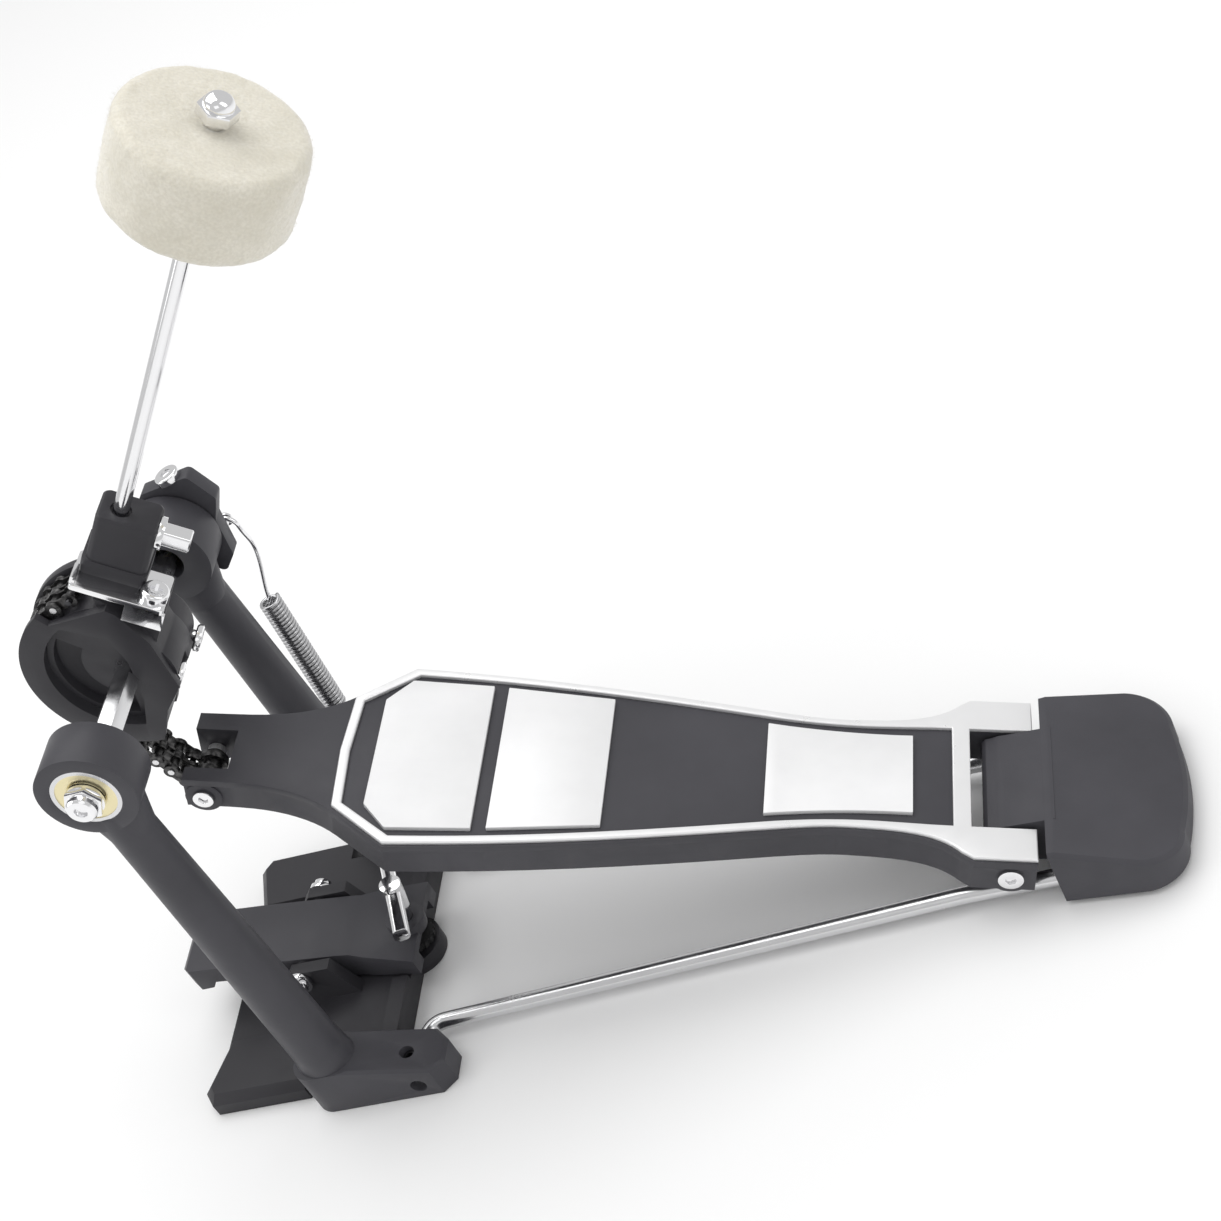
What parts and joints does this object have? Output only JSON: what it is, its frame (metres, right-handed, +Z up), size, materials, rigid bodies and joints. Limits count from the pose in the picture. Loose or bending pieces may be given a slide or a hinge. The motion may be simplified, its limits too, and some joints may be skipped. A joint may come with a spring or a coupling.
{
  "type": "bass drum pedal",
  "caption": "Single bass drum pedal: tilted footboard on a heel plate, chain and cam drive, felt beater, twin posts on a base plate, return spring and hoop clamp.",
  "frame": {"origin": "on the floor under the base plate, straight below the beater axle and halfway between the posts", "axes": "+X from the drum towards the player's heel, +Y towards the player's right, +Z up"},
  "size_m": [0.358, 0.1425, 0.3445],
  "materials": {
    "casting": "satin black powder coat on aluminium casting",
    "heel_casting": "matte charcoal powder coat on aluminium casting",
    "steel_plate": "satin black coat on steel",
    "cam": "satin black coat on aluminium",
    "chrome": "polished chrome",
    "steel": "bright drawn steel",
    "zinc": "yellow zinc plate",
    "chain_steel": "black finished steel",
    "tread": "satin silver, fine brushed",
    "felt": "pressed wool felt, cream",
    "rubber": "matte black rubber",
    "black_oxide": "black oxide, semi gloss"
  },
  "bodies": {
    "frame": {"base_plate": "steel_plate", "left_post": "casting", "right_post": "casting", "left_bearing_outer_race": "steel", "right_bearing_outer_race": "steel", "bearing_balls": "steel", "bearing_shields": "zinc", "heel_plate": "heel_casting", "heel_pad": "rubber", "heel_pins": "chrome", "left_floor_rod": "steel", "right_floor_rod": "steel", "rod_set_screws": "black_oxide", "jaw_pivot_bolt": "chrome", "tension_rod": "steel", "tension_nuts": "chrome", "return_spring": "steel"},
    "axle": {"hex_axle": "steel", "axle_nut": "chrome", "left_bearing_inner_race": "steel", "right_bearing_inner_race": "steel", "cam": "cam", "chain_anchor_pin": "black_oxide", "chain_fixed_links": "chain_steel", "beater_holder": "cam", "key_bolt": "chrome", "clamp_strap": "chrome", "strap_screw": "chrome", "holder_hub": "cam", "hub_set_screws": "chrome", "spring_rocker": "casting", "rocker_screw": "chrome", "rocker_pin": "chrome"},
    "beater": {"beater_rod": "chrome", "felt_beater": "felt", "acorn_nut": "chrome"},
    "footboard": {"footboard": "casting", "board_trim": "chrome", "tread_plate_heel": "tread", "tread_plate_middle": "tread", "tread_plate_toe": "tread", "toe_pin": "chrome", "chain_end_barrel": "chain_steel"},
    "spring_hook": {"spring_hook": "chrome"},
    "chain_hanging": {"chain_hanging_pin_links": "chain_steel", "chain_hanging_roller_links": "chain_steel"},
    "jaw": {"clamp_jaw": "casting", "jaw_pad": "rubber"},
    "clamp_screw": {"clamp_screw_foot": "rubber"},
    "clamp_handle": {"clamp_tee_bolt": "chrome"},
    "link_1": {"chain_link_1": "chain_steel"},
    "link_2": {"chain_link_2": "chain_steel"},
    "link_3": {"chain_link_3": "chain_steel"}
  },
  "joints": [
    {"name": "axle_turn", "type": "hinge", "parent": "frame", "child": "axle", "pos_m": [0, 0, 0.165], "axis": [0, -1, 0], "range_deg": [-2, 42], "stiffness_Nm_per_rad": 0.6},
    {"name": "beater_height", "type": "slide", "parent": "axle", "child": "beater", "axis": [0.6626, 0, 0.749], "range_m": [0, 0.012]},
    {"name": "board_hinge", "type": "hinge", "parent": "frame", "child": "footboard", "pos_m": [0.2412, 0, 0.0172], "axis": [0, -1, 0], "range_deg": [-0.51, 5.73]},
    {"name": "hook_travel", "type": "slide", "parent": "frame", "child": "spring_hook", "axis": [0.3687, 0, 0.9295], "range_m": [-0.0006, 0.0112], "deforming": ["return_spring"]},
    {"name": "jaw_hinge", "type": "hinge", "parent": "frame", "child": "jaw", "pos_m": [-0.0144, 0, 0.0196], "axis": [0, -1, 0], "range_deg": [0, 7]},
    {"name": "clamp_screw_travel", "type": "slide", "parent": "jaw", "child": "clamp_screw", "axis": [-0.1736, 0, -0.9848], "range_m": [0, 0.0048]},
    {"name": "clamp_handle_turn", "type": "hinge", "parent": "clamp_screw", "child": "clamp_handle", "pos_m": [0.0225, 0, 0.015], "axis": [0.1736, 0, 0.9848], "continuous": true},
    {"name": "chain_pin_4", "type": "hinge", "parent": "axle", "child": "link_3", "pos_m": [-0.02639, 0, 0.17963], "axis": [0, -1, 0], "range_deg": [-12.63, 0.84]},
    {"name": "chain_pin_3", "type": "hinge", "parent": "link_3", "child": "link_2", "pos_m": [-0.02817, 0, 0.17353], "axis": [0, -1, 0], "range_deg": [-12.72, 0.84]},
    {"name": "chain_pin_2", "type": "hinge", "parent": "link_2", "child": "link_1", "pos_m": [-0.02857, 0, 0.16719], "axis": [0, -1, 0], "range_deg": [-13.86, 0.9]},
    {"name": "chain_pin_1", "type": "hinge", "parent": "link_1", "child": "chain_hanging", "pos_m": [-0.02755, 0, 0.16093], "axis": [0, -1, 0], "range_deg": [-14.89, 0.95]}
  ],
  "couplings": [
    {"joint": "board_hinge", "follows": "axle_turn", "ratio": 0.1305},
    {"joint": "hook_travel", "follows": "axle_turn", "m_per_rad": 0.01434},
    {"joint": "clamp_screw_travel", "follows": "jaw_hinge", "m_per_rad": 0.0384},
    {"joint": "chain_pin_4", "follows": "axle_turn", "ratio": -0.2948},
    {"joint": "chain_pin_3", "follows": "axle_turn", "ratio": -0.2968},
    {"joint": "chain_pin_2", "follows": "axle_turn", "ratio": -0.324},
    {"joint": "chain_pin_1", "follows": "axle_turn", "ratio": -0.3485}
  ]
}
